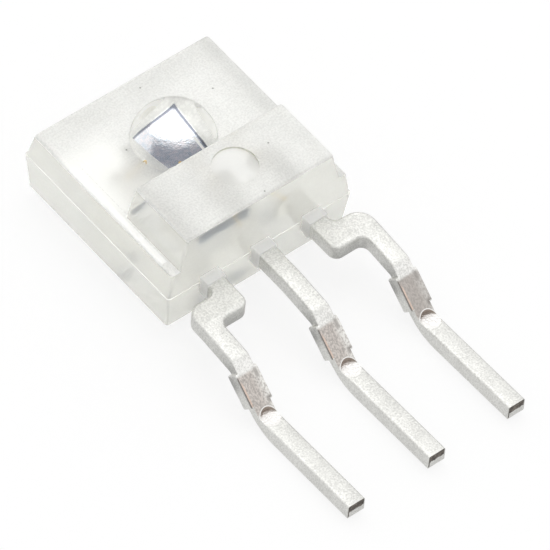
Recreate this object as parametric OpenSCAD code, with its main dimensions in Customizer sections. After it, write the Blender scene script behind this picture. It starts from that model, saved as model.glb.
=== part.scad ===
/* [Moulded body] */
// Width of the body across the leads, at the parting line
body_w = 4.58; // [4.50:0.02:4.70]
// Length of the body along the leads, at the parting line
body_l = 4.55; // [4.45:0.05:4.70]
// Height of the parting line above the back face
parting_h = 0.94; // [0.90:0.02:0.98]
// Thickness of the thin part that carries the lens
slab_h = 1.55; // [1.50:0.05:1.65]
// Thickness of the thick end that the leads come out of
block_h = 2.35; // [2.20:0.05:2.50]
// Width of the thick end, on its top
block_w = 3.61; // [3.40:0.01:3.70]
// Length of the thick end, on its top
block_l = 1.63; // [1.50:0.01:1.70]
// Radius of the body's upright edges
edge_r = 0.065; // [0.05:0.005:0.10]

/* [Lens] */
// Radius of the lens dome
lens_r = 0.885; // [0.80:0.005:0.95]
// Height of the dome above the thin part
lens_rise = 0.775; // [0.65:0.005:0.79]
// Distance from the body's middle to the lens axis, away from the leads
lens_y = 0.49; // [0.47:0.01:0.60]

/* [Ejector mark] */
// Diameter of the round mark on the thick end
mark_d = 0.94; // [0.80:0.02:1.00]
// Depth of the mark
mark_depth = 0.05; // [0.02:0.01:0.08]

/* [Leads] */
// Width of a lead
lead_w = 0.41; // [0.38:0.01:0.42]
// Thickness of the lead sheet
lead_t = 0.38; // [0.34:0.01:0.40]
// Pitch of the leads where they leave the body
exit_pitch = 1.27; // [1.20:0.01:1.34]
// Pitch of the feet
foot_pitch = 2.00; // [1.90:0.05:2.20]
// Distance from the body's middle to the ends of the feet
tip_y = 7.77; // [7.00:0.01:8.50]
// Depth of the heels below the back face
heel_drop = 0.29; // [0.25:0.01:0.33]

/* [Chip] */
// Width of the chip
chip_w = 1.22; // [1.10:0.02:1.30]
// Length of the chip
chip_l = 0.97; // [0.85:0.01:1.05]
// Thickness of the chip
chip_t = 0.28; // [0.20:0.01:0.30]
// Diameter of the bond wires
wire_d = 0.03; // [0.025:0.005:0.035]

/* [Hidden] */
$fn = 96;

// Margin by which a cutter runs past what it cuts
past = 0.5;
// Amount by which a rounding crosses the face it runs into, so that the two never just touch
cross = 0.002;

// Draft of the mould: back half, front half, lead end and the thick end's sides and rear
back_draft = 5;
front_draft = 10;
lead_end_draft = 3.5;
block_side_draft = 12.5;
block_rear_draft = 3;
// The front half is this much smaller all round at the parting line
parting_step = 0.02;
// Radius of the worn top edges
top_r = 0.06;

// Half sizes of the outline on the back face, at the parting line and on the thin part
low_x = body_w / 2;
low_y = body_l / 2;
back_inset = parting_h * tan(back_draft);
up_x = low_x - parting_step;
up_y = low_y - parting_step;
slab_rise = slab_h - parting_h;
slab_inset = slab_rise * tan(front_draft);
slab_x = up_x - slab_inset;
slab_y = up_y - slab_inset;

// The thick end: its foot on the thin part and its top
block_rise = block_h - slab_h;
block_x = block_w / 2;
block_foot_x = block_x + block_rise * tan(block_side_draft);
block_foot_front_y = up_y - slab_rise * tan(lead_end_draft);
block_front_y = block_foot_front_y - block_rise * tan(lead_end_draft);
block_rear_y = block_front_y - block_l;
block_foot_rear_y = block_rear_y - block_rise * tan(block_rear_draft);

// Centre of the lens sphere
lens_z = slab_h + lens_rise - lens_r;
// Centre of the ejector mark
mark_x = 0.09;
mark_y = -1.25;

// Resin collar round each lead
collar_side = 0.02;
collar_w = lead_w + 2 * collar_side;
collar_top = 0.05;
collar_under = 0.03;
collar_l = 0.22;
collar_root = 0.13;

// Heights of the lead sheet inside the body
sheet_z = 0.64;
sheet_top = sheet_z + lead_t;

// Plan of the jog between the two pitches
jog_near_y = -2.69;
jog_far_y = -3.27;
ground_jog_r = 0.30;
output_jog_r = 0.38;
jog_corner_r = 0.20;
jog_inner_r = 0.18;

// Side form of a lead: level, a slight droop, a steep step and a foot that rises to its tip
droop_y = -3.20;
droop = 6;
droop_r = 1.0;
crest_y = -4.24;
crest_r = 0.05;
step_angle = 41;
step_top = [-4.52, 0.57];
step_under = [-4.52, 0.21];
step_from_y = -4.31;
under_crest_r = 0.20;
heel_y = -5.45;
heel_r = 1.15;
toe_r = 0.12;
foot_rise = 2.2;
tip_break = 0.03;

// The wide stub on the steep step, where the leads were trimmed apart. It is square to the
// sloping sheet, and its top lies a hair below the sheet's.
stub_w = 0.53;
stub_t = 0.34;
stub_near_y = -4.33;
stub_far_y = -4.89;
stub_sunk = 0.004;

// Round punch mark at the heel
punch_r = 0.21;
punch_y = -5.17;
punch_z = 0.065;

// Inner ends of the leads
paddle_w = 1.50;
paddle_l = 1.25;
paddle_x = -0.14;
paddle_y = 0.47;
arm_w = 0.45;
arm_top_y = 0.70;
head_w = 0.66;
head_l = 0.40;
head_near_y = -0.72;
head_far_y = head_near_y - head_l;
inner_r = 0.08;

// The chip and the adhesive under it
chip_x = -0.14;
chip_y = 0.485;
attach_t = 0.02;
attach_margin = 0.03;
chip_z = sheet_top + attach_t;
chip_top = chip_z + chip_t;

// Bond wires: ball on the chip, rise, bend, slope and stitch on the lead
ball_d = 0.08;
ball_h = 0.025;
loop_rise = 0.16;
bend_r = 0.05;
bend_d = wire_d + 0.001;
lap = 0.004;
stitch_d = 0.08;
stitch_h = 0.012;
pad_inset = 0.10;
ground_pad_shift = 0.08;
stitch_inset = 0.20;
near_pad_y = chip_y - chip_l / 2 + pad_inset;
ground_pad = [chip_x - chip_w / 2 + pad_inset, chip_y - ground_pad_shift];
ground_stitch = [-1.17, 0.44];
supply_pad = [-0.20, near_pad_y];
supply_stitch = [-0.08, head_near_y - stitch_inset];
output_pad = [0.34, near_pad_y];
output_stitch = [1.06, head_near_y - stitch_inset];

resin = [0.86, 0.90, 0.86, 0.45];
tin = [0.78, 0.78, 0.76];
silicon = [0.20, 0.26, 0.38];
silver_paste = [0.70, 0.70, 0.68];
gold = [0.90, 0.72, 0.30];

function unit(v) = v / norm(v);
function turned(v, a) = [v[0] * cos(a) - v[1] * sin(a), v[0] * sin(a) + v[1] * cos(a)];

// Turn in degrees for each flat of a rounding, coarser where the radius is small
function flat_turn(r) = r < 0.1 ? 18 : 6;

// Points of the corner b between a and c, rounded to the radius r
function corner(a, b, c, r) =
    r == 0 ? [b] :
    let (u = unit(a - b), w = unit(c - b), half = acos(u * w) / 2)
    let (centre = b + unit(u + w) * r / sin(half))
    let (from = b + u * r / tan(half) - centre, sweep = 180 - 2 * half)
    let (way = u[0] * w[1] - u[1] * w[0] > 0 ? -1 : 1, n = ceil(sweep / flat_turn(r)))
    [for (i = [0 : n]) centre + turned(from, way * sweep * i / n)];

// Closed outline through the points [x, y, r], each rounded to its own r
function rounded(pts) =
    let (n = len(pts), flat = [for (p = pts) [p[0], p[1]]])
    [for (i = [0 : n - 1])
        each corner(flat[(i + n - 1) % n], flat[i], flat[(i + 1) % n], pts[i][2])];

// Height at y of the line through p that falls at the angle a towards the tip
function falling(p, a, y) = p[1] + (y - p[0]) * tan(a);

// Where two such lines meet
function meeting(p, a, q, b) =
    let (y = (q[1] - p[1] + p[0] * tan(a) - q[0] * tan(b)) / (tan(a) - tan(b)))
    [y, falling(p, a, y)];

// A profile of Y and Z points drawn out along X
module along_x(width) {
    rotate([90, 0, 90]) linear_extrude(width, center = true) children();
}

// A profile of X and Z points drawn out along Y
module along_y(length) {
    rotate([90, 0, 0]) linear_extrude(length, center = true) children();
}

// Cutter that rounds the upright edge of a drafted box. The edge starts at p and leans inwards
// by the slopes lean_x and lean_y; side_x and side_y tell which way is outwards.
module edge_cutter(p, side_x, side_y, lean_x, lean_y, h, r) {
    tilt_y = atan(-side_x * lean_x);
    tilt_x = atan(side_y * lean_y * cos(tilt_y));
    translate(p) rotate([tilt_x, tilt_y, 0]) translate([0, 0, -past])
        linear_extrude(h + 2 * past) difference() {
            translate([side_x > 0 ? -r : -past, side_y > 0 ? -r : -past])
                square(past + r);
            translate([-side_x * r, -side_y * r]) circle(r + cross);
        }
}

module back_half() {
    foot_x = low_x - back_inset;
    foot_y = low_y - back_inset;
    difference() {
        intersection() {
            along_y(2 * body_l) polygon([
                [-foot_x, 0], [foot_x, 0], [low_x, parting_h], [-low_x, parting_h]]);
            along_x(2 * body_w) polygon([
                [-foot_y, 0], [foot_y, 0], [low_y, parting_h], [-low_y, parting_h]]);
        }
        for (sx = [-1, 1], sy = [-1, 1])
            edge_cutter([sx * foot_x, sy * foot_y, 0], sx, sy,
                -tan(back_draft), -tan(back_draft), parting_h, edge_r);
    }
}

// Rounding of the thick end's four upright edges, above the thin part only
module block_edge_cutters() {
    difference() {
        for (sx = [-1, 1]) {
            edge_cutter([sx * block_foot_x, -block_foot_front_y, slab_h], sx, -1,
                tan(block_side_draft), tan(lead_end_draft), block_rise, edge_r);
            edge_cutter([sx * block_foot_x, -block_foot_rear_y, slab_h], sx, 1,
                tan(block_side_draft), tan(block_rear_draft), block_rise, edge_r);
        }
        translate([-body_w, -body_l, -past]) cube([2 * body_w, 2 * body_l, slab_h + past]);
    }
}

module front_half() {
    difference() {
        intersection() {
            along_y(2 * body_l) polygon(rounded([
                [-up_x, parting_h, 0], [up_x, parting_h, 0], [slab_x, slab_h, top_r],
                [block_foot_x, slab_h, 0], [block_x, block_h, top_r],
                [-block_x, block_h, top_r], [-block_foot_x, slab_h, 0],
                [-slab_x, slab_h, top_r]]));
            along_x(2 * body_w) polygon(rounded([
                [-up_y, parting_h, 0], [up_y, parting_h, 0], [slab_y, slab_h, top_r],
                [-block_foot_rear_y, slab_h, 0], [-block_rear_y, block_h, top_r],
                [-block_front_y, block_h, top_r]]));
        }
        for (sx = [-1, 1]) {
            edge_cutter([sx * up_x, up_y, parting_h], sx, 1,
                tan(front_draft), tan(front_draft), slab_rise, edge_r);
            edge_cutter([sx * up_x, -up_y, parting_h], sx, -1,
                tan(front_draft), tan(lead_end_draft), slab_rise, edge_r);
        }
        block_edge_cutters();
    }
}

module collar(x) {
    translate([x - collar_w / 2, -low_y - collar_l, sheet_z - collar_under])
        cube([collar_w, collar_l + collar_root, lead_t + collar_under + collar_top]);
}

module moulding() {
    difference() {
        union() {
            back_half();
            front_half();
            translate([0, lens_y, lens_z]) sphere(lens_r);
            for (i = [-1 : 1]) collar(i * exit_pitch);
        }
        translate([mark_x, mark_y, block_h - mark_depth]) cylinder(mark_depth + past, d = mark_d);
    }
}

module resin_body() {
    color(resin) difference() {
        moulding();
        ground_form();
        supply_form();
        output_form();
        attach_form();
        chip_form();
        ground_wire_form();
        supply_wire_form();
        output_wire_form();
    }
}

// Side form of the three leads, from the far end of the paddle to the tip and back
module side_form() {
    inner_y = paddle_y + paddle_l;
    droop_top = [droop_y, sheet_top];
    droop_under = [droop_y, sheet_z];
    foot_under = [-tip_y, falling([heel_y, -heel_drop], -foot_rise, -tip_y)];
    foot_top = [-tip_y, foot_under[1] + lead_t];
    under_crest = meeting(droop_under, droop, step_under, step_angle);
    toe = meeting(step_top, step_angle, foot_top, -foot_rise);
    heel = meeting(step_under, step_angle, foot_under, -foot_rise);
    break_z = foot_under[1] + lead_t / 3;
    along_x(2 * body_w) polygon(rounded([
        [inner_y, sheet_top, 0],
        [droop_y, sheet_top, droop_r],
        [crest_y, falling(droop_top, droop, crest_y), crest_r],
        [step_from_y, falling(step_top, step_angle, step_from_y), 0],
        [toe[0], toe[1], toe_r],
        [-tip_y, foot_top[1], 0],
        [-tip_y, break_z, 0],
        [-tip_y + tip_break, foot_under[1], 0],
        [heel[0], heel[1], heel_r],
        [under_crest[0], under_crest[1], under_crest_r],
        [droop_y, sheet_z, droop_r],
        [inner_y, sheet_z, 0]]));
}

// Stub on the steep step of the lead whose foot is at foot_x
module stub(foot_x) {
    top = [step_top[0], step_top[1] - stub_sunk];
    near = [stub_near_y, falling(top, step_angle, stub_near_y)];
    far = [stub_far_y, falling(top, step_angle, stub_far_y)];
    through = stub_t * [sin(step_angle), -cos(step_angle)];
    translate([foot_x, 0, 0]) along_x(stub_w)
        polygon([near, near + through, far + through, far]);
}

// Plan of a jogged lead, down one side, round the tip and up the other
function jogged_plan(exit_x, foot_x, outer_r) = [
    [exit_x - lead_w / 2, jog_far_y, jog_corner_r],
    [foot_x - lead_w / 2, jog_far_y, jog_inner_r],
    [foot_x - lead_w / 2, -tip_y, 0],
    [foot_x + lead_w / 2, -tip_y, 0],
    [foot_x + lead_w / 2, jog_near_y, outer_r],
    [exit_x + lead_w / 2, jog_near_y, jog_inner_r]];

function straight_plan(x) = [[x - lead_w / 2, -tip_y, 0], [x + lead_w / 2, -tip_y, 0]];

// Plan of a bonding head, the wide inner end of a lead, that reaches from left to right
function head_plan(lead_x, left, right) = [
    [lead_x + lead_w / 2, head_far_y, 0],
    [right, head_far_y, 0],
    [right, head_near_y, inner_r],
    [left, head_near_y, inner_r],
    [left, head_far_y, inner_r],
    [lead_x - lead_w / 2, head_far_y, 0]];

// Plan of the arm and the die paddle, drawn on the side of the positive X axis
function paddle_plan(lead_x) =
    let (right = paddle_w / 2 - paddle_x, left = right - paddle_w)
    let (far = paddle_y + paddle_l / 2, near = far - paddle_l, arm_near = arm_top_y - arm_w)
    [[lead_x + lead_w / 2, arm_top_y, inner_r],
     [right, arm_top_y, inner_r],
     [right, far, inner_r],
     [left, far, inner_r],
     [left, near, inner_r],
     [right, near, inner_r],
     [right, arm_near, inner_r],
     [lead_x - lead_w / 2, arm_near, inner_r]];

// A lead: its plan, cut from sheet, takes the side form, the stub and the punch mark at its heel
module formed(foot_x) {
    difference() {
        union() {
            intersection() {
                translate([0, 0, -past]) linear_extrude(sheet_top + 2 * past) children();
                side_form();
            }
            stub(foot_x);
        }
        translate([foot_x, punch_y, punch_z]) cylinder(past, r = punch_r);
    }
}

module ground_form() {
    formed(-foot_pitch) mirror([1, 0, 0])
        polygon(rounded(concat(
            jogged_plan(exit_pitch, foot_pitch, ground_jog_r), paddle_plan(exit_pitch))));
}

module supply_form() {
    formed(0) polygon(rounded(concat(straight_plan(0), head_plan(0, -head_w / 2, head_w / 2))));
}

module output_form() {
    right = exit_pitch + lead_w / 2;
    formed(foot_pitch) polygon(rounded(concat(
        jogged_plan(exit_pitch, foot_pitch, output_jog_r),
        [[right, head_near_y, inner_r],
         [right - head_w, head_near_y, inner_r],
         [right - head_w, head_far_y, inner_r],
         [exit_pitch - lead_w / 2, head_far_y, 0]])));
}

module attach_form() {
    w = chip_w + 2 * attach_margin;
    l = chip_l + 2 * attach_margin;
    translate([chip_x - w / 2, chip_y - l / 2, sheet_top]) cube([w, l, attach_t]);
}

module chip_form() {
    translate([chip_x - chip_w / 2, chip_y - chip_l / 2, chip_z]) cube([chip_w, chip_l, chip_t]);
}

// A bond wire in its own upright plane: ball and rise on the chip, a bend, a slope down to the
// lead and the flat stitch that ends it
module wire_form(pad, stitch) {
    span = norm(stitch - pad);
    heading = atan2(stitch[1] - pad[1], stitch[0] - pad[0]);
    bend_z = chip_top + loop_rise - bend_r;
    fall = atan2(chip_top + loop_rise - sheet_top, span - bend_r);
    from_x = bend_r * (1 + sin(fall));
    from_z = bend_z + bend_r * cos(fall);
    run = (from_z - sheet_top) / sin(fall);
    neck_z = chip_top + ball_h / 2;
    cut_z = sheet_top + stitch_h / 2;
    translate([pad[0], pad[1], 0]) rotate([0, 0, heading]) {
        translate([0, 0, chip_top]) cylinder(ball_h, d = ball_d);
        translate([0, 0, neck_z]) cylinder(bend_z + lap - neck_z, d = wire_d);
        translate([bend_r, 0, bend_z]) rotate([90, 0, 180])
            rotate_extrude(angle = 90 + fall) translate([bend_r, 0]) circle(d = bend_d);
        difference() {
            translate([from_x, 0, from_z]) rotate([0, 90 + fall, 0])
                translate([0, 0, -lap]) cylinder(run + ball_d, d = wire_d);
            translate([0, -past / 2, cut_z - past]) cube([2 * span, past, past]);
        }
        translate([from_x + run * cos(fall), 0, sheet_top]) cylinder(stitch_h, d = stitch_d);
    }
}

module ground_wire_form() {
    wire_form(ground_pad, ground_stitch);
}

module supply_wire_form() {
    wire_form(supply_pad, supply_stitch);
}

module output_wire_form() {
    wire_form(output_pad, output_stitch);
}

module lead_ground() {
    color(tin) ground_form();
}

module lead_supply() {
    color(tin) supply_form();
}

module lead_output() {
    color(tin) output_form();
}

module die_attach() {
    color(silver_paste) attach_form();
}

module sensor_chip() {
    color(silicon) chip_form();
}

module wire_ground() {
    color(gold) ground_wire_form();
}

module wire_supply() {
    color(gold) supply_wire_form();
}

module wire_output() {
    color(gold) output_wire_form();
}

resin_body();
lead_ground();
lead_supply();
lead_output();
die_attach();
sensor_chip();
wire_ground();
wire_supply();
wire_output();
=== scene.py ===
import math

import bmesh
import bpy
from bpy.props import FloatProperty, FloatVectorProperty, PointerProperty
from mathutils import Matrix, Vector


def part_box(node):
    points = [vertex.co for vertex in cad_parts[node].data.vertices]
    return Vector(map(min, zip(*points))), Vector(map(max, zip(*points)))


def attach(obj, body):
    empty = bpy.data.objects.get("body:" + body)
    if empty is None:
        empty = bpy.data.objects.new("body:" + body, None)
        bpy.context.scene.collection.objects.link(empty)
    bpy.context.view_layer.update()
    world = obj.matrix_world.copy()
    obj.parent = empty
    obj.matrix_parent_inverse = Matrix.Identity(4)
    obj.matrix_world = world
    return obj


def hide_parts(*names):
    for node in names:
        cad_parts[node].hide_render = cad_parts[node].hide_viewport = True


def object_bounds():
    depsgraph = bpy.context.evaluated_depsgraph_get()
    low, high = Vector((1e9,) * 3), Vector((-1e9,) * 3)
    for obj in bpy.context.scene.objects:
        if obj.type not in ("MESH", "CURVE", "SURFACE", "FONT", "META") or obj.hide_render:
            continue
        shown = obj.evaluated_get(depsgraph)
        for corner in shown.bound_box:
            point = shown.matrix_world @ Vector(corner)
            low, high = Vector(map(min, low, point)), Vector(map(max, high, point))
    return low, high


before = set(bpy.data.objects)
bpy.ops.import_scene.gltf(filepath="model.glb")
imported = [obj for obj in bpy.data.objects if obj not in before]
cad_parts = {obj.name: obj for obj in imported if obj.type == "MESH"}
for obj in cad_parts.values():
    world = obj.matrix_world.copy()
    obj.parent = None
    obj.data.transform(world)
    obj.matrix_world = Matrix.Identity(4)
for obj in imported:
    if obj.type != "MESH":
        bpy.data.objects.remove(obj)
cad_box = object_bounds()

bl_info = {
    "name": "Clear Light Sensor",
    "version": (1, 0, 0),
    "blender": (4, 5, 0),
    "location": "3D View > Sidebar > Light Sensor",
    "description": "Builds the finished look of a three-lead light sensor in clear resin",
    "category": "Object",
}

MM = 0.001
NEAR = 1e-4

# Resin: its refractive index, the share of light that the matt and the fine skin let through,
# how strongly they scatter the rest inwards, the painted glow on the dome's flank, and the shade
# of the dome's rim where it is seen edge on.
RESIN_IOR = 1.54
MATT_CLEAR, FINE_CLEAR, SKIN_GLOW, FLANK_GLOW, RIM_SHADE = 0.60, 0.62, 0.27, 0.09, 0.5
BLACK, WHITE = (0.0, 0.0, 0.0), (1.0, 1.0, 1.0)


def length(name, description, millimetres):
    """A length property whose default is given in millimetres."""
    return FloatProperty(
        name=name, description=description, default=millimetres * MM, unit="LENGTH", precision=6
    )


def share(name, description, value):
    return FloatProperty(name=name, description=description, default=value, subtype="FACTOR")


def colour(name, description, value):
    return FloatVectorProperty(
        name=name, description=description, default=value, size=3, subtype="COLOR",
        min=0.0, max=1.0,
    )


class ResinSettings(bpy.types.PropertyGroup):
    width: length("Width", "Width of the body at its parting line", 4.58)
    depth: length("Length", "Length of the body at its parting line", 4.55)
    parting: length("Parting height", "Height of the parting line", 0.94)
    thin: length("Thin part", "Thickness of the part that carries the lens", 1.55)
    thick: length("Thick end", "Thickness of the end that the leads leave", 2.35)
    thick_width: length("Thick end width", "Width of the thick end on its top", 3.61)
    thick_length: length("Thick end length", "Length of the thick end on its top", 1.63)
    edge: length("Edges", "Radius of the body's edges", 0.065)
    lens_radius: length("Lens radius", "Radius of the lens dome", 0.885)
    lens_rise: length("Lens rise", "Height of the dome above the thin part", 0.775)
    lens_y: length("Lens place", "Distance from the body's middle to the lens axis", 0.49)
    mark: length("Ejector mark", "Diameter of the round mark on the thick end", 0.94)
    mark_depth: length("Mark depth", "Depth of the ejector mark", 0.05)
    tint: colour("Tint", "Colour of the clear resin", (0.985, 0.985, 0.972))
    frost: share("Frost", "Roughness of the matt front faces", 0.55)
    side: share("Side roughness", "Roughness of the drafted side faces", 0.18)


class LeadSettings(bpy.types.PropertyGroup):
    width: length("Width", "Width of a lead", 0.41)
    thickness: length("Thickness", "Thickness of the lead sheet", 0.38)
    exit_pitch: length("Exit pitch", "Pitch of the leads where they leave the resin", 1.27)
    foot_pitch: length("Foot pitch", "Pitch of the feet", 2.0)
    tip: length("Tip", "Distance from the body's middle to the ends of the feet", 7.7698)
    heel: length("Heel drop", "Depth of the heels below the back face", 0.2895)
    edge: length("Edges", "Radius of the stamped and plated edges", 0.045)
    tin: colour("Tin", "Colour of the matt tin plating", (0.835, 0.832, 0.800))
    silver: colour("Silver", "Colour of the silvered ends inside the resin", (0.96, 0.955, 0.92))
    rubbed: colour("Rubbed tin", "Colour of the step where the tool rubbed it", (0.70, 0.65, 0.61))
    copper: colour("Copper", "Colour where the plating is rubbed through", (0.72, 0.57, 0.48))
    shorn: colour("Shorn end", "Colour of the bare metal at the cut ends", (0.07, 0.06, 0.05))


class ChipSettings(bpy.types.PropertyGroup):
    window: colour("Window", "Colour of the coated photodiode", (0.80, 0.86, 0.94))
    guard: colour("Guard ring", "Colour of the dark line round the photodiode", (0.05, 0.07, 0.12))
    circuit: colour("Circuit", "Colour of the light shield over the amplifier", (0.90, 0.90, 0.87))
    metal: colour("Metal", "Colour of the metal lines and pads", (0.92, 0.92, 0.90))
    silicon: colour("Silicon", "Colour of the sawn sides", (0.84, 0.84, 0.84))
    gold: colour("Gold", "Colour of the bond wires", (0.93, 0.68, 0.28))


class StudioSettings(bpy.types.PropertyGroup):
    floor: colour("Floor", "Colour of the pale floor", (0.58, 0.58, 0.58))
    surround: share("Surround", "Strength of the soft light from all round", 0.80)
    softbox: share("Softbox", "Strength of the soft light overhead", 1.0)


# mesh helpers


def turned_corner(before, at, after, radius, step):
    """Points of the corner at a point, rounded to a radius, one for each step in degrees."""
    at = Vector(at)
    u, w = (Vector(before) - at).normalized(), (Vector(after) - at).normalized()
    if radius == 0:
        return [at]
    half = u.angle(w) / 2
    centre = at + (u + w).normalized() * radius / math.sin(half)
    start = at + u * radius / math.tan(half) - centre
    sweep = math.pi - 2 * half
    way = -1 if u.cross(w) > 0 else 1
    count = max(2, math.ceil(math.degrees(sweep) / step))
    turns = [Matrix.Rotation(way * sweep * i / count, 2) for i in range(count + 1)]
    return [centre + rotation @ start for rotation in turns]


def rounded_line(points, step=6):
    """A line through the points (y, z, radius), its inner corners rounded."""
    line = [Vector(points[0][:2])]
    for before, at, after in zip(points, points[1:], points[2:]):
        line += turned_corner(before[:2], at[:2], after[:2], at[2], step)
    return line + [Vector(points[-1][:2])]


def height_on(line, y):
    """Height of a line whose y falls from point to point."""
    for a, b in zip(line, line[1:]):
        if a.x >= y >= b.x and a.x > b.x:
            return a.y + (b.y - a.y) * (a.x - y) / (a.x - b.x)
    return line[0].y if y > line[0].x else line[-1].y


def meeting(p, p_slope, q, q_slope):
    """Where the line through p meets the line through q, with rises for each step along y."""
    y = (q[1] - p[1] + p[0] * p_slope - q[0] * q_slope) / (p_slope - q_slope)
    return y, p[1] + (y - p[0]) * p_slope


def move(bm, by):
    bmesh.ops.translate(bm, vec=by, verts=bm.verts)


def turn(bm, rotation, verts=None, about=(0, 0, 0)):
    bmesh.ops.rotate(bm, cent=about, matrix=rotation, verts=verts or bm.verts)


def block(size, centre, bevel=0.0):
    """A box of that size, its edges bevelled."""
    bm = bmesh.new()
    bmesh.ops.create_cube(bm, size=1.0)
    bmesh.ops.scale(bm, vec=size, verts=bm.verts)
    if bevel:
        bevel_edges(bm, bm.edges, bevel, 2)
    move(bm, centre)
    return bm


def drum(radius, height, base, segments=96):
    """A cylinder that stands on its base point."""
    bm = bmesh.new()
    bmesh.ops.create_cone(
        bm, cap_ends=True, segments=segments, radius1=radius, radius2=radius, depth=height
    )
    move(bm, Vector(base) + Vector((0, 0, height / 2)))
    return bm


def ball(radius, centre, segments=128):
    bm = bmesh.new()
    bmesh.ops.create_uvsphere(bm, u_segments=segments, v_segments=segments // 2, radius=radius)
    move(bm, centre)
    return bm


def bevel_edges(bm, edges, offset, segments):
    return bmesh.ops.bevel(
        bm, geom=list(edges), offset=offset, offset_type="OFFSET", segments=segments,
        profile=0.5, affect="EDGES", clamp_overlap=True, material=-1,
    )


def plain_object(name, bm):
    mesh = bpy.data.meshes.new(name)
    bm.to_mesh(mesh)
    bm.free()
    obj = bpy.data.objects.new(name, mesh)
    bpy.context.scene.collection.objects.link(obj)
    return obj


def combined(bm, tools):
    """The mesh after each tool, a pair of mesh and operation, is joined to it or cut from it."""
    base = plain_object("combined", bm)
    used = []
    for tool, operation in tools:
        other = plain_object("tool", tool)
        used.append(other)
        step = base.modifiers.new("step", "BOOLEAN")
        step.solver = "MANIFOLD"
        step.operation = operation
        step.object = other
    bpy.context.view_layer.update()
    made = bpy.data.meshes.new_from_object(
        base.evaluated_get(bpy.context.evaluated_depsgraph_get())
    )
    out = bmesh.new()
    out.from_mesh(made)
    bpy.data.meshes.remove(made)
    for obj in [base, *used]:
        mesh = obj.data
        bpy.data.objects.remove(obj)
        bpy.data.meshes.remove(mesh)
    return out


def piece(name, bm, materials, node, smooth=32):
    """A finished piece, made in millimetres, that stands for a CAD node.

    Edges sharper than smooth, in degrees, stay sharp.
    """
    bmesh.ops.scale(bm, vec=(MM, MM, MM), verts=bm.verts)
    for face in bm.faces:
        face.smooth = True
    obj = plain_object(name, bm)
    obj.data.set_sharp_from_angle(angle=math.radians(smooth))
    for made in materials:
        obj.data.materials.append(made)
    even = obj.modifiers.new("even shading", "WEIGHTED_NORMAL")
    even.keep_sharp = True
    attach(obj, "root")
    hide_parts(node)
    return obj


# materials


class Nodes:
    """Short calls for one node tree. Places and sizes in the trees are in millimetres."""

    def __init__(self, tree):
        self.tree = tree

    def add(self, kind, values=None, **settings):
        node = self.tree.nodes.new(kind)
        for key, value in settings.items():
            setattr(node, key, value)
        for key, value in (values or {}).items():
            if isinstance(value, bpy.types.NodeSocket):
                self.tree.links.new(value, node.inputs[key])
            else:
                node.inputs[key].default_value = value
        return node

    def place(self):
        metres = self.add("ShaderNodeTexCoord").outputs["Object"]
        return self.scaled(metres, 1 / MM)

    def scaled(self, vector, factor):
        values = {0: vector, "Scale": factor}
        return self.add("ShaderNodeVectorMath", values, operation="SCALE").outputs[0]

    def reach(self, x, y):
        """Distance from the point where both are 0."""
        flat = self.add("ShaderNodeCombineXYZ", {0: x, 1: y, 2: 0.0}).outputs[0]
        return self.add("ShaderNodeVectorMath", {0: flat}, operation="LENGTH").outputs["Value"]

    def axes(self, vector):
        return self.add("ShaderNodeSeparateXYZ", {0: vector}).outputs

    def facing(self):
        """How far the surface itself faces +X, +Y and +Z."""
        return self.axes(self.add("ShaderNodeNewGeometry").outputs["True Normal"])

    def maths(self, operation, a, b=0.0, c=0.0):
        return self.add("ShaderNodeMath", {0: a, 1: b, 2: c}, operation=operation).outputs[0]

    def all_of(self, *masks):
        whole = masks[0]
        for mask in masks[1:]:
            whole = self.maths("MULTIPLY", whole, mask)
        return whole

    def blend(self, factor, a, b):
        node = self.add("ShaderNodeMix", data_type="RGBA")
        for index, value in ((0, factor), (6, a), (7, b)):
            if isinstance(value, bpy.types.NodeSocket):
                self.tree.links.new(value, node.inputs[index])
            elif index:
                node.inputs[index].default_value = (*value[:3], 1.0)
            else:
                node.inputs[index].default_value = value
        return node.outputs[2]

    def toned(self, tone, shade, low, high):
        """A colour between two of its own levels, as the tone says."""
        return self.blend(tone, shaded(shade, low), shaded(shade, high))

    def ramp(self, value, low, high, to_low=0.0, to_high=1.0, kind="SMOOTHSTEP"):
        node = self.add(
            "ShaderNodeMapRange", {0: value, 1: low, 2: high, 3: to_low, 4: to_high},
            interpolation_type=kind,
        )
        return node.outputs[0]

    def level(self, tone, low, high):
        """A value between two others, as the tone says."""
        return self.ramp(tone, 0.0, 1.0, low, high, kind="LINEAR")

    def between(self, value, low, high, soft):
        """1 between low and high, 0 outside, with soft borders."""
        rise = self.ramp(value, low - soft, low + soft)
        fall = self.ramp(value, high - soft, high + soft, 1.0, 0.0)
        return self.maths("MULTIPLY", rise, fall)

    def within(self, place, low_x, low_y, high_x, high_y, soft):
        """1 inside a rectangle seen from above."""
        return self.all_of(
            self.between(place[0], low_x, high_x, soft),
            self.between(place[1], low_y, high_y, soft),
        )

    def noise(self, place, size, detail=2.0, stretch=(1.0, 1.0, 1.0)):
        moved = self.add("ShaderNodeMapping", {0: place, 3: stretch}).outputs[0]
        scale = self.maths("DIVIDE", 1.0, size)
        values = {"Vector": moved, "Scale": scale, "Detail": detail, "Roughness": 0.6}
        return self.add("ShaderNodeTexNoise", values).outputs["Fac"]


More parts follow.
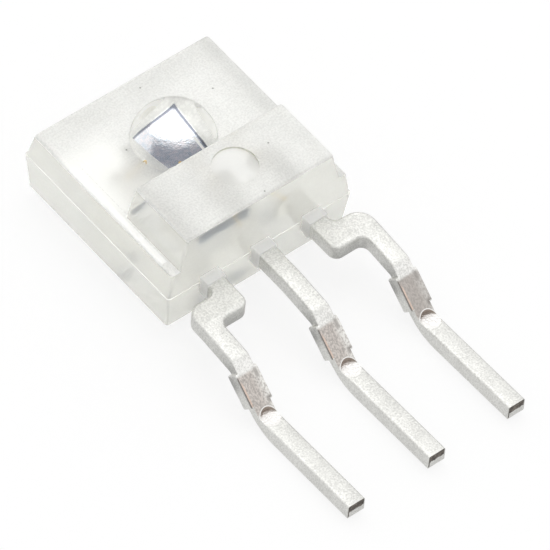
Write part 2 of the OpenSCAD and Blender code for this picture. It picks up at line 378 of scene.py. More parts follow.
def surface_grain():
    """Node group: fine random relief and tone in object space, sizes in millimetres."""
    if "Surface Grain" in bpy.data.node_groups:
        return bpy.data.node_groups["Surface Grain"]
    tree = bpy.data.node_groups.new("Surface Grain", "ShaderNodeTree")
    for name, default in (("Size", 0.04), ("Patch Size", 0.4), ("Patch Share", 0.3)):
        socket = tree.interface.new_socket(name, in_out="INPUT", socket_type="NodeSocketFloat")
        socket.default_value = default
    for name in ("Height", "Tone"):
        tree.interface.new_socket(name, in_out="OUTPUT", socket_type="NodeSocketFloat")
    n = Nodes(tree)
    given = n.add("NodeGroupInput").outputs
    place = n.place()
    fine = n.noise(place, given["Size"])
    patch = n.noise(place, given["Patch Size"], 3.0)
    mixed = n.add("ShaderNodeMix", {0: given["Patch Share"], 2: fine, 3: patch}, data_type="FLOAT")
    tone = n.ramp(mixed.outputs[0], 0.38, 0.62, kind="LINEAR")
    n.add("NodeGroupOutput", {"Height": fine, "Tone": tone})
    return tree


def new_material(name, kind=Nodes):
    made = bpy.data.materials.new(name)
    made.use_nodes = True
    return made, kind(made.node_tree), made.node_tree.nodes["Principled BSDF"]


def grain(n, size, patch=0.4, patch_share=0.3):
    node = n.add("ShaderNodeGroup", node_tree=surface_grain())
    for key, value in (("Size", size), ("Patch Size", patch), ("Patch Share", patch_share)):
        node.inputs[key].default_value = value
    return node.outputs["Height"], node.outputs["Tone"]


def set_shader(n, shader, **values):
    for key, value in values.items():
        socket = shader.inputs[key.replace("_", " ")]
        if isinstance(value, bpy.types.NodeSocket):
            n.tree.links.new(value, socket)
        else:
            socket.default_value = value


def relief(n, height, depth):
    """Bump of a depth in millimetres."""
    return n.add("ShaderNodeBump", {"Height": height, "Distance": depth * MM}).outputs[0]


def shaded(shade, factor):
    return [c * factor for c in shade[:3]]


def lit_inside(n, tint, clear):
    """Light from outside that the unclear share of the skin scatters into the body."""
    inner = n.add("ShaderNodeNewGeometry").outputs["Backfacing"]
    return n.blend(inner, BLACK, shaded(tint, (1.0 - clear) * SKIN_GLOW))


def painted_flank_glow(n, s):
    """Painted glow on the polished dome, at its foot and on its far right flank."""
    x, y, _ = n.axes(n.place())
    y = n.maths("ADD", y, -s.lens_y / MM)
    radius = s.lens_radius / MM
    out = n.reach(x, y)
    far_foot = n.all_of(n.ramp(out, 0.80 * radius, 0.88 * radius), n.ramp(y, 0.0, 0.2))
    foot = n.maths("MAXIMUM", n.ramp(out, 0.93 * radius, 0.98 * radius), far_foot)
    far_right = n.ramp(n.maths("ADD", x, y), -0.50 * radius, -0.05 * radius)
    flank = n.all_of(n.ramp(out, 0.55 * radius, 0.75 * radius), far_right)
    return n.blend(n.maths("MAXIMUM", foot, flank), BLACK, shaded(s.tint, FLANK_GLOW))


def clear_resin(name, tint, clear, roughness, spread, depth, grain_size, dome=None):
    """Clear epoxy whose surface copies the mould; clear is the share of light that goes through.

    dome holds the body's settings where the surface is the polished lens.
    """
    made, n, shader = new_material(name)
    height, tone = grain(n, grain_size)
    rough = n.level(tone, roughness - spread, roughness + spread)
    skin = n.toned(tone, tint, 0.97, 1.0)
    if dome:
        edge_on = n.add("ShaderNodeLayerWeight", {"Blend": 0.5}).outputs["Facing"]
        skin = n.blend(n.ramp(edge_on, 0.62, 0.92), skin, shaded(tint, RIM_SHADE))
        light = painted_flank_glow(n, dome)
    else:
        light = lit_inside(n, tint, clear)
    set_shader(
        n, shader, Base_Color=skin, Roughness=rough, IOR=RESIN_IOR, Transmission_Weight=clear,
        Normal=relief(n, height, depth), Emission_Color=light, Emission_Strength=1.0,
    )
    return made


# Rectangles on the matt faces, as low x, low y, high x, high y
# The first rectangle is a strip along the left top edge, smoother and painted white as a highlight.
HIGHLIGHT_STRIP, STRIP_ROUGHNESS = (-2.18, -1.85, -2.03, 1.05), 0.30
SCRATCH = (-1.945, -1.9, -1.925, 1.1)
SPECK_SPREAD, SPECK_COLOUR = 0.62, (0.25, 0.25, 0.24)
# Share and colour of the painted highlight on the left part of the slab's top.
LEFT_HIGHLIGHT_SHARE, LEFT_HIGHLIGHT_COLOUR = 0.85, (1.0, 1.0, 0.98)
# Level of the matt faces' colour, and the painted shade that darkens them towards the right and far
# edges.
MATT_LEVEL, EDGE_SHADE = 0.86, -0.14


def matt_resin(s):
    """Ground-glass face with rare specks and a strip along its left edge, smoother and painted
    white as a highlight.
    """
    made, n, shader = new_material("resin_matt")
    height, tone = grain(n, 0.042, 0.6, 0.25)
    place = n.place()
    x, y, z = n.axes(place)
    # Painted highlight: a smoother strip along the left edge, painted white.
    strip = n.within((x, y), *HIGHLIGHT_STRIP, 0.015)
    scratch = n.all_of(
        n.within((x, y), *SCRATCH, 0.006), n.ramp(n.noise(place, 0.05), 0.45, 0.6)
    )
    spots = n.add(
        "ShaderNodeTexVoronoi", {"Vector": place, "Scale": SPECK_SPREAD}, voronoi_dimensions="2D"
    ).outputs["Distance"]
    speck = n.ramp(spots, 0.009, 0.016, 1.0, 0.0)
    # Painted highlight: the left part of the slab's top is painted lighter.
    left_highlight = n.all_of(
        n.ramp(x, -0.7, -1.4), n.ramp(y, -1.0, 0.0), n.ramp(y, 1.7, 0.9), n.ramp(z, 1.7, 1.6)
    )
    # Painted shade: darker towards the right and far edges of the matt faces.
    edges = n.maths("MAXIMUM", n.ramp(x, 1.70, 2.05), n.ramp(y, 1.75, 2.10, 0.0, 0.3))
    face = n.toned(tone, s.tint, 0.84, 1.04)
    face = n.scaled(face, n.maths("MULTIPLY_ADD", edges, EDGE_SHADE, MATT_LEVEL))
    for mask, shade in (
        (n.maths("MULTIPLY", left_highlight, LEFT_HIGHLIGHT_SHARE), LEFT_HIGHLIGHT_COLOUR), (strip, WHITE),
        (n.maths("MAXIMUM", speck, n.maths("MULTIPLY", scratch, 0.25)), SPECK_COLOUR),
    ):
        face = n.blend(mask, face, shade)
    set_shader(
        n, shader, Base_Color=face, Roughness=n.level(strip, s.frost, STRIP_ROUGHNESS),
        IOR=RESIN_IOR, Transmission_Weight=MATT_CLEAR, Normal=relief(n, height, 0.006),
        Emission_Color=lit_inside(n, s.tint, MATT_CLEAR), Emission_Strength=1.0,
    )
    return made


# Bands along a lead as far and near y, and strips across it from its middle line
STEP_BAND, CREST_BAND, PADDLE_WALL = (-5.02, -4.38), (-4.40, -4.16), (-0.17, -0.14)
RESIN_FRONT, JOG_END, TIP_FACE = (-2.32, -2.26), (-4.15, -3.85), (-7.768, -7.764)
# The second of these strips takes painted shade along the step's left edge.
WORN_STRIP, EDGE_SHADOW_STRIP = (-0.232, -0.200), (-0.262, -0.236)
SHORN_STRIP, SHORN_FLANK = (-0.185, 0.185), (-0.200, -0.172)
# Where the step's dents take painted shade, as a strip across and a band along the lead.
LOW_DENT_SHADE, HIGH_DENT_SHADE = ((0.13, 0.25), (-4.93, -4.83)), ((0.13, 0.21), (-4.52, -4.36))
PUNCH_RADIUS, PUNCH_Y, PUNCH_Z = 0.21, -5.17, 0.065
# Painted highlights, near white, on the step's crest and on the punch mark's far lip.
CREST_HIGHLIGHT, PUNCH_RIM_HIGHLIGHT = (0.98, 0.97, 0.95), (0.89, 0.88, 0.86)
# Painted shade on the punch mark's wall, and the colour of its floor.
PUNCH_WALL_SHADE, PUNCH_FLOOR = (0.40, 0.34, 0.30), (0.84, 0.82, 0.81)
# Painted shade on the paddle's front wall inside the resin, dark blue and darkest at its top.
WALL_SHADE_LOW, WALL_SHADE_HIGH = (0.15, 0.20, 0.28), (0.035, 0.045, 0.07)


class LeadNodes(Nodes):
    """Node calls for the leads, which know where a point lies on its lead."""

    def __init__(self, tree):
        super().__init__(tree)
        self.at = self.place()
        self.x, self.y, self.z = self.axes(self.at)
        self.across = self.maths("WRAP", self.x, 1.0, -1.0)
        self.facing_x, self.facing_y, self.facing_z = self.facing()
        self.upward = self.ramp(self.facing_z, 0.45, 0.65)


def step_marks(n, s, tone):
    """Mask and colour of each mark on the step and its crest: the tool's rubbing and worn copper,
    painted highlight and shade.
    """
    along_step = n.between(n.y, *STEP_BAND, 0.03)
    pressed = n.all_of(along_step, n.upward)
    streaks = n.noise(n.at, 0.036, 3.0, (1.0, 0.65, 0.65))
    rubbed = n.toned(n.ramp(streaks, 0.34, 0.66), s.rubbed, 0.60, 0.96)
    lighter = n.all_of(n.ramp(n.across, 0.02, 0.22), n.ramp(streaks, 0.34, 0.60, 0.25, 0.9))
    rubbed = n.blend(lighter, rubbed, shaded(s.tin, 1.08))
    rubbed = n.blend(n.ramp(n.x, 0.9, 1.3, 0.0, 0.5), rubbed, shaded(s.rubbed, 0.55))
    worn = n.all_of(
        pressed, n.between(n.across, *WORN_STRIP, 0.012), n.ramp(streaks, 0.30, 0.50, 0.5, 1.0),
        n.ramp(n.y, -4.42, -4.55),
    )
    # Painted highlight: the crest's upward faces are painted near white.
    crest = n.all_of(
        n.between(n.y, *CREST_BAND, 0.06), n.upward, n.ramp(tone, 0.0, 1.0, 0.2, 0.8)
    )
    # Painted shade: a dark line along the step's left edge.
    edge_shadow = n.all_of(
        along_step, n.between(n.across, *EDGE_SHADOW_STRIP, 0.006), n.ramp(n.facing_z, 0.2, 0.4)
    )
    low = n.all_of(n.between(n.across, *LOW_DENT_SHADE[0], 0.03), n.between(n.y, *LOW_DENT_SHADE[1], 0.03))
    high = n.all_of(n.between(n.across, *HIGH_DENT_SHADE[0], 0.03), n.between(n.y, *HIGH_DENT_SHADE[1], 0.04))
    # Painted shade in the dents on the step.
    dent_shade = n.maths("MAXIMUM", low, n.maths("MULTIPLY", high, 0.8))
    dent_shade = n.all_of(dent_shade, n.upward, n.ramp(streaks, 0.35, 0.6, 0.4, 1.0))
    return (
        (crest, CREST_HIGHLIGHT), (pressed, rubbed), (worn, s.copper),
        (edge_shadow, shaded(s.rubbed, 0.3)), (dent_shade, shaded(s.rubbed, 0.45)),
    )


def punch_marks(n, s):
    """Mask and colour of the punch mark's floor, its wall and near lip in painted shade and its far
    lip in painted highlight, on each heel.
    """
    out = n.reach(n.across, n.maths("ADD", n.y, -PUNCH_Y))
    lip = n.between(out, PUNCH_RADIUS, PUNCH_RADIUS + 0.016, 0.006)
    # Painted highlight on the far lip, painted shade on the near lip.
    far_lip_highlight = n.all_of(lip, n.upward, n.ramp(n.y, -5.24, -5.18))
    near_lip_shade = n.all_of(
        lip, n.upward, n.ramp(n.y, -5.30, -5.36), n.between(n.across, -0.12, 0.12, 0.03)
    )
    floor = n.all_of(
        n.ramp(out, 0.17, 0.20, 1.0, 0.0), n.upward, n.between(n.y, -5.39, -4.95, 0.01)
    )
    # Painted shade on the punch mark's wall.
    wall = n.all_of(
        n.ramp(out, 0.214, 0.219, 1.0, 0.0), n.ramp(n.facing_z, 0.2, 0.4, 1.0, 0.0),
        n.ramp(n.z, 0.06, 0.07),
    )
    return (
        (wall, PUNCH_WALL_SHADE), (n.maths("MULTIPLY", floor, 0.6), PUNCH_FLOOR),
        (near_lip_shade, shaded(s.tin, 0.72)), (far_lip_highlight, PUNCH_RIM_HIGHLIGHT),
    )


def tip_marks(n, s):
    """Mask and colour of the foot's cut end and of the torn metal on it."""
    tip = n.ramp(n.y, *TIP_FACE, 1.0, 0.0)
    ragged = n.maths("MULTIPLY_ADD", n.noise(n.at, 0.08), 0.11, n.z)
    band = n.all_of(n.ramp(ragged, 0.035, 0.070), n.between(n.across, *SHORN_STRIP, 0.01))
    flank = n.all_of(n.between(n.across, *SHORN_FLANK, 0.008), n.ramp(n.z, -0.16, -0.12))
    shorn = n.all_of(tip, n.maths("MAXIMUM", band, flank))
    torn = n.toned(n.ramp(n.noise(n.at, 0.05), 0.42, 0.62), s.shorn, 1.0, 2.6)
    return (n.maths("MULTIPLY", tip, 0.1), shaded(s.tin, 0.5)), (shorn, torn)


def tin_plating(s):
    """Matt tin over copper alloy, rubbed on the steep step, shorn at the tips, silvered inside."""
    made, n, shader = new_material("tin_plating", LeadNodes)
    height, tone = grain(n, 0.036, 0.5, 0.25)
    foot_top = n.all_of(n.upward, n.ramp(n.y, -5.2, -5.5), n.ramp(n.across, -0.15, -0.10))
    inside = n.ramp(n.y, *RESIN_FRONT)
    front_wall = n.ramp(n.facing_y, -0.5, -0.7)
    # Painted shade: the paddle's front wall is painted dark blue.
    paddle_wall_shade = n.all_of(n.between(n.y, *PADDLE_WALL, 0.005), front_wall, n.ramp(n.x, 0.46, 0.36))
    metal = n.toned(tone, s.tin, 0.78, 1.0)
    for mask, shade in (
        (n.ramp(n.y, *JOG_END), n.toned(tone, s.tin, 0.72, 0.93)),
        (foot_top, n.toned(tone, s.tin, 0.74, 0.93)),
        (inside, s.silver),
        (paddle_wall_shade, n.blend(n.ramp(n.z, 0.66, 1.0), WALL_SHADE_LOW, WALL_SHADE_HIGH)),
        *step_marks(n, s, tone), *punch_marks(n, s), *tip_marks(n, s),
    ):
        metal = n.blend(mask, metal, shade)
    pale = n.maths("MAXIMUM", n.upward, n.ramp(n.facing_x, -0.5, -0.7))
    rough = n.level(tone, 0.48, 0.36)
    rough = n.maths("MULTIPLY_ADD", inside, n.ramp(n.facing_z, 0.3, 0.6, -0.26, 0.14), rough)
    set_shader(
        n, shader, Base_Color=metal, Roughness=rough, Normal=relief(n, height, 0.012),
        Metallic=n.maths("MULTIPLY_ADD", n.all_of(inside, pale), -0.8, 1.0),
    )
    return made


# Rectangles on the chip, as low x, low y, high x, high y
WINDOW = (-0.32, 0.19, 0.345, 0.905)
LINE = (0.266, 0.20, 0.298, 0.47)
GUARD_WIDTH, RIM_WIDTH = (0.046, 0.022), (0.010, 0.004)
WINDOW_SHIMMER = (0.92, 0.89, 0.92)


def die_window(s):
    """Coated photodiode: mirror-smooth, with its dark guard line along the far and right edges."""
    made, n, shader = new_material("die_window")
    height, tone = grain(n, 0.05, 0.12, 0.5)
    x, y, _ = n.axes(n.place())
    _, _, high_x, high_y = WINDOW
    guard, rim = (
        n.maths(
            "MAXIMUM", n.ramp(x, high_x - start, high_x - full),
            n.ramp(y, high_y - start, high_y - full),
        )
        for start, full in (GUARD_WIDTH, RIM_WIDTH)
    )
    corner = n.ramp(n.maths("ADD", x, y), high_x + high_y - 0.14, high_x + high_y - 0.05)
    line = n.within((x, y), *LINE, 0.004)
    face = n.blend(tone, shaded(s.window, 0.9), WINDOW_SHIMMER)
    face = n.blend(n.maths("MULTIPLY", n.maths("MAXIMUM", guard, corner), 0.8), face, s.guard)
    face = n.blend(line, face, s.metal)
    face = n.blend(rim, face, shaded(s.metal, 0.8))
    rough = n.maths("MULTIPLY_ADD", line, 0.5, n.level(tone, 0.07, 0.11))
    set_shader(
        n, shader, Base_Color=face, Metallic=1.0, Roughness=rough,
        Normal=relief(n, height, 0.0022),
    )
    return made


def die_circuit(s):
    """Passivated amplifier area and, on the sawn sides, bare silicon."""
    made, n, shader = new_material("die_circuit")
    cells = n.add(
        "ShaderNodeTexVoronoi", {"Vector": n.place(), "Scale": 30.0, "Randomness": 0.9},
        distance="CHEBYCHEV",
    ).outputs["Distance"]
    _, tone = grain(n, 0.02, 0.1, 0.5)
    top = n.toned(n.ramp(cells, 0.25, 0.45), s.circuit, 1.0, 0.92)
    sawn = n.toned(tone, s.silicon, 0.85, 1.0)
    upward = n.ramp(n.facing()[2], 0.3, 0.6)
    set_shader(
        n, shader, Base_Color=n.blend(upward, sawn, top), Metallic=0.9,
        Roughness=n.level(tone, 0.42, 0.52), Normal=relief(n, cells, 0.0004),
    )
    return made


def fine_metal(name, shade, low, high, size):
    """Bright metal of a fine grain, for the pads and the wires; low and high give its roughness."""
    made, n, shader = new_material(name)
    height, tone = grain(n, size, size * 5, 0.4)
    set_shader(
        n, shader, Base_Color=n.toned(tone, shade, 0.86, 1.0), Metallic=1.0,
        Roughness=n.level(tone, low, high), Normal=relief(n, height, 0.0004),
    )
    return made


ADHESIVE_DARK, ADHESIVE_LIGHT = (0.90, 0.90, 0.87), (0.98, 0.98, 0.95)
ADHESIVE_GLOW = (0.20, 0.20, 0.19, 1.0)


def silver_adhesive():
    """Silver-filled film under the die; its faint glow is light that the resin scatters to it."""
    made, n, shader = new_material("silver_adhesive")
    height, tone = grain(n, 0.02, 0.09, 0.5)
    set_shader(
        n, shader, Base_Color=n.blend(tone, ADHESIVE_DARK, ADHESIVE_LIGHT),
        Roughness=n.level(tone, 0.55, 0.75), Normal=relief(n, height, 0.003),
        Emission_Color=ADHESIVE_GLOW, Emission_Strength=1.0,
    )
    return made


# clear body, in millimetres and degrees

BACK_DRAFT, FRONT_DRAFT, LEAD_END_DRAFT = 5.0, 10.0, 3.5
BLOCK_SIDE_DRAFT, BLOCK_REAR_DRAFT = 12.5, 3.0
PARTING_STEP, ROOT_DEPTH = 0.02, 0.05
SHEET_Z = 0.64
COLLAR_LENGTH, COLLAR_ROOT, COLLAR_EDGE = 0.22, 0.13, 0.02
COLLAR_BESIDE, COLLAR_ABOVE, COLLAR_UNDER = 0.02, 0.05, 0.03
MARK_PLACE = (0.09, -1.25)
EDGE_STEPS, UPRIGHT_RISE = 4, 0.3
# The body's finishes, in the order of its materials
MATT, POLISHED, FINE, MARK, RIM, FLASH = range(6)


def slope(degrees):
    return math.tan(math.radians(degrees))


class BodyPlan:
    """Half widths, heights and places of the clear body in millimetres, from its settings."""

    def __init__(self, s):
        self.half_x, self.half_y = s.width / MM / 2, s.depth / MM / 2
        self.parting, self.thin, self.thick = s.parting / MM, s.thin / MM, s.thick / MM
        self.edge = s.edge / MM
        self.up_x, self.up_y = self.half_x - PARTING_STEP, self.half_y - PARTING_STEP
        rise, block_rise = self.thin - self.parting, self.thick - self.thin
        self.slab_x = self.up_x - rise * slope(FRONT_DRAFT)
        self.slab_y = self.up_y - rise * slope(FRONT_DRAFT)
        self.front = self.up_y - rise * slope(LEAD_END_DRAFT)
        self.top_front = self.front - block_rise * slope(LEAD_END_DRAFT)
        self.top_rear = self.top_front - s.thick_length / MM
        self.rear = self.top_rear - block_rise * slope(BLOCK_REAR_DRAFT)
        self.block_x = s.thick_width / MM / 2
        self.foot_x = self.block_x + block_rise * slope(BLOCK_SIDE_DRAFT)
        self.lens_radius = s.lens_radius / MM
        self.lens = (0.0, s.lens_y / MM, (s.thin + s.lens_rise - s.lens_radius) / MM)
        self.mark_radius, self.mark_depth = s.mark / MM / 2, s.mark_depth / MM
        self.mark = (*MARK_PLACE, (s.thick - s.mark_depth) / MM)


def raised(bm, face, height, half_x, front, rear):
    """Draws a rectangular face up to a height and gives its corners new places."""
    made = bmesh.ops.extrude_face_region(bm, geom=[face])["geom"]
    top = next(g for g in made if isinstance(g, bmesh.types.BMFace))
    middle = top.calc_center_median()
    for vert in top.verts:
        vert.co = (
            half_x if vert.co.x > middle.x else -half_x,
            rear if vert.co.y > middle.y else front,
            height,
        )
    bmesh.ops.delete(bm, geom=[face], context="FACES_ONLY")
    return top


def lower_half(p):
    """The half below the parting line, narrower towards the back face."""
    inset = p.parting * slope(BACK_DRAFT)
    bm = block((2, 2, 1), (0, 0, 0.5))
    for vert in bm.verts:
        shrink = 0 if vert.co.z > 0.5 else inset
        vert.co.x *= p.half_x - shrink
        vert.co.y *= p.half_y - shrink
        vert.co.z *= p.parting
    upright = [e for e in bm.edges if abs(e.verts[0].co.z - e.verts[1].co.z) > UPRIGHT_RISE]
    bevel_edges(bm, upright, p.edge, EDGE_STEPS)
    return bm


def upper_slab(p):
    """The thin part above the parting line, its root sunk into the half below."""
    wider, longer = ROOT_DEPTH * slope(FRONT_DRAFT), ROOT_DEPTH * slope(LEAD_END_DRAFT)
    bm = block((2, 2, 1), (0, 0, 0.5))
    for vert in bm.verts:
        if vert.co.z > 0.5:
            far = p.slab_y if vert.co.y > 0 else -p.front
            vert.co = (p.slab_x * vert.co.x, far, p.thin)
        else:
            far = p.up_y + wider if vert.co.y > 0 else -p.up_y - longer
            vert.co = ((p.up_x + wider) * vert.co.x, far, p.parting - ROOT_DEPTH)
    return bm


def outer_edges(bm, p):
    """The upper half's corners and the edges of its tops, but not the ledges beside the block."""
    chosen = []
    for edge in bm.edges:
        if len(edge.link_faces) != 2 or edge.calc_face_angle_signed() <= math.radians(20):
            continue
        a, b = (v.co for v in edge.verts)
        upright = abs(a.z - b.z) > UPRIGHT_RISE
        on_top = min(a.z, b.z) > p.thin - NEAR
        at_front = max(a.z, b.z) < p.thin + NEAR and max(a.y, b.y) < -p.front + NEAR
        if upright or (on_top and not at_front):
            chosen.append(edge)
    return chosen


def upper_half(p):
    """The half above the parting line, its thick end drawn up from the thin part."""
    bm = upper_slab(p)
    for place, normal in (
        ((0, -p.rear, 0), (0, 1, 0)), ((p.foot_x, 0, 0), (1, 0, 0)), ((-p.foot_x, 0, 0), (1, 0, 0))
    ):
        tops = [f for f in bm.faces if f.calc_center_median().z > p.thin - NEAR]
        if place[0]:
            tops = [f for f in tops if f.calc_center_median().y < -p.rear + NEAR]
        around = {e for f in tops for e in f.edges} | {v for f in tops for v in f.verts}
        bmesh.ops.bisect_plane(
            bm, geom=tops + list(around), plane_co=place, plane_no=normal, dist=1e-6
        )
    middles = ((f, f.calc_center_median()) for f in bm.faces)
    face = next(
        f for f, at in middles if at.z > p.thin - NEAR and abs(at.x) < 0.1 and at.y < -p.rear
    )
    raised(bm, face, p.thick, p.block_x, -p.top_front, -p.top_rear)
    bmesh.ops.recalc_face_normals(bm, faces=bm.faces)
    level = [
        e for e in bm.edges
        if min(v.co.z for v in e.verts) > p.thin - NEAR
        and e.calc_face_angle() < math.radians(0.5)
    ]
    bmesh.ops.dissolve_edges(bm, edges=level, use_verts=True)
    bevel_edges(bm, outer_edges(bm, p), p.edge, EDGE_STEPS)
    return bm


def collar(p, leads, x):
    """The flash of resin that rises round a lead where it leaves the body."""
    wide = leads.width / MM + 2 * COLLAR_BESIDE
    tall = leads.thickness / MM + COLLAR_ABOVE + COLLAR_UNDER
    y = -p.half_y - COLLAR_LENGTH / 2 + COLLAR_ROOT / 2
    at = (x, y, SHEET_Z - COLLAR_UNDER + tall / 2)
    return block((wide, COLLAR_LENGTH + COLLAR_ROOT, tall), at, COLLAR_EDGE)


def resin_finish(face, p):
    """The index of the finish that the mould leaves at a face's place."""
    at = face.calc_center_median()
    from_lens = (at - Vector(p.lens)).length
    from_mark = at - Vector(p.mark)
    on_wall = abs(from_mark.z - p.mark_depth / 2) < p.mark_depth / 3
    if at.z > p.thin + 1e-3 and abs(from_lens - p.lens_radius) < 0.01 and at.y > -p.rear:
        return POLISHED
    if abs(from_mark.z) < 1e-3 and face.normal.z > 0.9:
        return MARK
    if on_wall and from_mark.xy.length < p.mark_radius + 1e-3:
        return RIM
    if at.y < -p.half_y - 1e-3:
        return FLASH
    return MATT if face.normal.z > 0.3 and at.z > p.parting + 0.1 else FINE


class SENSOR_OT_resin_body(bpy.types.Operator):
    """Moulded clear body with its lens, ejector mark and collars"""

    bl_idname = "sensor.resin_body"
    bl_label = "Clear Body"

    def execute(self, context):
        s = context.scene.sensor_resin
        leads = context.scene.sensor_leads
        p = BodyPlan(s)
        collars = [collar(p, leads, k * leads.exit_pitch / MM) for k in (-1, 0, 1)]
        bm = combined(lower_half(p), [
            (upper_half(p), "UNION"),
            *((made, "UNION") for made in collars),
            (drum(p.mark_radius, 0.5, p.mark), "DIFFERENCE"),
            (ball(p.lens_radius, p.lens, 160), "UNION"),
        ])
        for face in bm.faces:
            face.material_index = resin_finish(face, p)
        tint = tuple(s.tint)
        materials = {
            MATT: matt_resin(s),
            POLISHED: clear_resin("resin_polished", tint, 1.0, 0.03, 0.02, 0.0001, 0.06, dome=s),
            FINE: clear_resin(
                "resin_fine", (*tint[:2], 0.975 * tint[2]), FINE_CLEAR, s.side, 0.04, 0.0002, 0.05
            ),
            MARK: clear_resin("resin_mark", shaded(tint, 0.82), 0.60, 0.36, 0.04, 0.0006, 0.05),
            RIM: clear_resin("resin_rim", (0.60, 0.60, 0.53), 0.50, 0.36, 0.04, 0.0006, 0.05),
            FLASH: clear_resin("resin_flash", tint, 0.30, 0.40, 0.04, 0.003, 0.05),
        }
        in_order = [materials[index] for index in sorted(materials)]
        piece("clear_body", bm, in_order, "resin_body")
        return {"FINISHED"}


# leads, in millimetres and degrees

JOG_NEAR, JOG_FAR, JOG_CORNER = -2.69, -3.27, 0.18
STEP_ANGLE, FOOT_RISE, DROOP = 41.0, 2.2, 6.0
STEP_TOP, STEP_UNDER, BEND_Y, HEEL_Y = (-4.52, 0.57), (-4.52, 0.21), -3.2, -5.45
STUB_WIDTH, STUB_THICKNESS, STUB_NEAR, STUB_FAR = 0.53, 0.34, -4.33, -4.89
STUB_EDGE, STUB_SINK = 0.03, 0.004
HEAD_NEAR, HEAD_FAR, HEAD_WIDTH, INNER_R = -0.72, -1.12, 0.66, 0.08
PADDLE, ARM_FAR, ARM_NEAR = (-0.61, 0.89, -0.155, 1.095), 0.70, 0.25
SHEET_END, FORM_NEAR, FORM_FAR = 1.2, 1.0, -7.7
FOOT_CUT, FOOT_CUT_STEP, FOOT_CUTS = -5.6, 0.2, 11


def lead_sides(s):
    """Upper and lower line of the leads' side form, as (y, z) in millimetres."""
    t, tip = s.thickness / MM, -s.tip / MM
    top, under = SHEET_Z + t, SHEET_Z
    steep, foot, droop = slope(STEP_ANGLE), -slope(FOOT_RISE), slope(DROOP)
    foot_under = (tip, -s.heel / MM + (tip - HEEL_Y) * foot)
    foot_top = (tip, foot_under[1] + t)
    toe = meeting(STEP_TOP, steep, foot_top, foot)
    heel = meeting(STEP_UNDER, steep, foot_under, foot)
    crest = meeting((BEND_Y, under), droop, STEP_UNDER, steep)
    upper = rounded_line([
        (SHEET_END, top, 0), (BEND_Y, top, 1.0), (-4.14, top - 0.94 * droop, 0.20),
        (-4.36, STEP_TOP[1] + 0.16 * steep, 0.10), (*toe, 0.12), (*foot_top, 0)])
    lower = rounded_line([
        (SHEET_END, under, 0), (BEND_Y, under, 1.0), (*crest, 0.20), (*heel, 1.15),
        (*foot_under, 0)])
    return upper, lower


def jogged(s, side, outer_r, inner):
    """Plan of an outer lead. side is -1 for the left one; inner gives its end inside the resin."""
    w, tip = s.width / MM / 2, -s.tip / MM
    out, far = s.exit_pitch / MM, s.foot_pitch / MM
    plan = [
        (out - w, JOG_FAR, 0.20), (far - w, JOG_FAR, JOG_CORNER), (far - w, tip, 0),
        (far + w, tip, 0), (far + w, JOG_NEAR, outer_r), (out + w, JOG_NEAR, JOG_CORNER), *inner]
    return [(side * x, y, r) for x, y, r in plan]


def stamped(s, plan):
    """Flat lead of that plan, its corners and edges rounded, from z 0 up to its thickness."""
    t, tip = s.thickness / MM, -s.tip / MM
    bm = bmesh.new()
    face = bm.faces.new([bm.verts.new((x, y, 0)) for x, y, _ in plan])
    made = bmesh.ops.extrude_face_region(bm, geom=[face])["geom"]
    top = [g for g in made if isinstance(g, bmesh.types.BMVert)]
    bmesh.ops.translate(bm, vec=(0, 0, t), verts=top)
    bmesh.ops.recalc_face_normals(bm, faces=bm.faces)
    for radius in sorted({r for _, _, r in plan if r}):
        corners = [Vector((x, y)) for x, y, r in plan if r == radius]
        upright = [
            e for e in bm.edges
            if abs(e.verts[0].co.z - e.verts[1].co.z) > t / 2
            and any((e.verts[0].co.xy - c).length < NEAR for c in corners)
        ]
        bevel_edges(bm, upright, radius, 10 if radius > 0.1 else 4)
    rims = [
        e for e in bm.edges
        if abs(e.verts[0].co.z - e.verts[1].co.z) < 1e-5
        and not all(abs(v.co.y - tip) < NEAR and v.co.z > t / 2 for v in e.verts)
    ]
    bevel_edges(bm, rims, s.edge / MM, 3)
    return bm


def formed(bm, s):
    """Bends a flat lead to the side form, with a cut across it at each of the form's points."""
    upper, lower = lead_sides(s)
    cuts = {round(p.x, 4) for p in upper + lower if FORM_FAR < p.x < FORM_NEAR}
    cuts |= {round(FOOT_CUT - FOOT_CUT_STEP * i, 4) for i in range(FOOT_CUTS)}
    for y in sorted(cuts):
        geom = bm.verts[:] + bm.edges[:] + bm.faces[:]
        bmesh.ops.bisect_plane(bm, geom=geom, plane_co=(0, y, 0), plane_no=(0, 1, 0), dist=1e-5)
    for vert in bm.verts:
        low, high = height_on(lower, vert.co.y), height_on(upper, vert.co.y)
        vert.co.z = low + (high - low) * vert.co.z / (s.thickness / MM)


def lead_mesh(s, plan, foot_x):
    """One formed lead, with the wider coined flat on its step and the punch mark on its heel."""
    bm = stamped(s, plan)
    formed(bm, s)
    along = (STUB_NEAR - STUB_FAR) / math.cos(math.radians(STEP_ANGLE))
    size, middle = (STUB_WIDTH, along, STUB_THICKNESS), (STUB_NEAR + STUB_FAR) / 2
    stub = block(size, (0, 0, -STUB_THICKNESS / 2), STUB_EDGE)
    turn(stub, Matrix.Rotation(math.radians(STEP_ANGLE), 3, "X"))
    height = STEP_TOP[1] - STUB_SINK + (middle - STEP_TOP[0]) * slope(STEP_ANGLE)
    move(stub, (foot_x, middle, height))
    punch = drum(PUNCH_RADIUS, 0.5, (foot_x, PUNCH_Y, PUNCH_Z), 64)
    return combined(bm, [(stub, "UNION"), (punch, "DIFFERENCE")])


def tin(context):
    return bpy.data.materials.get("tin_plating") or tin_plating(context.scene.sensor_leads)


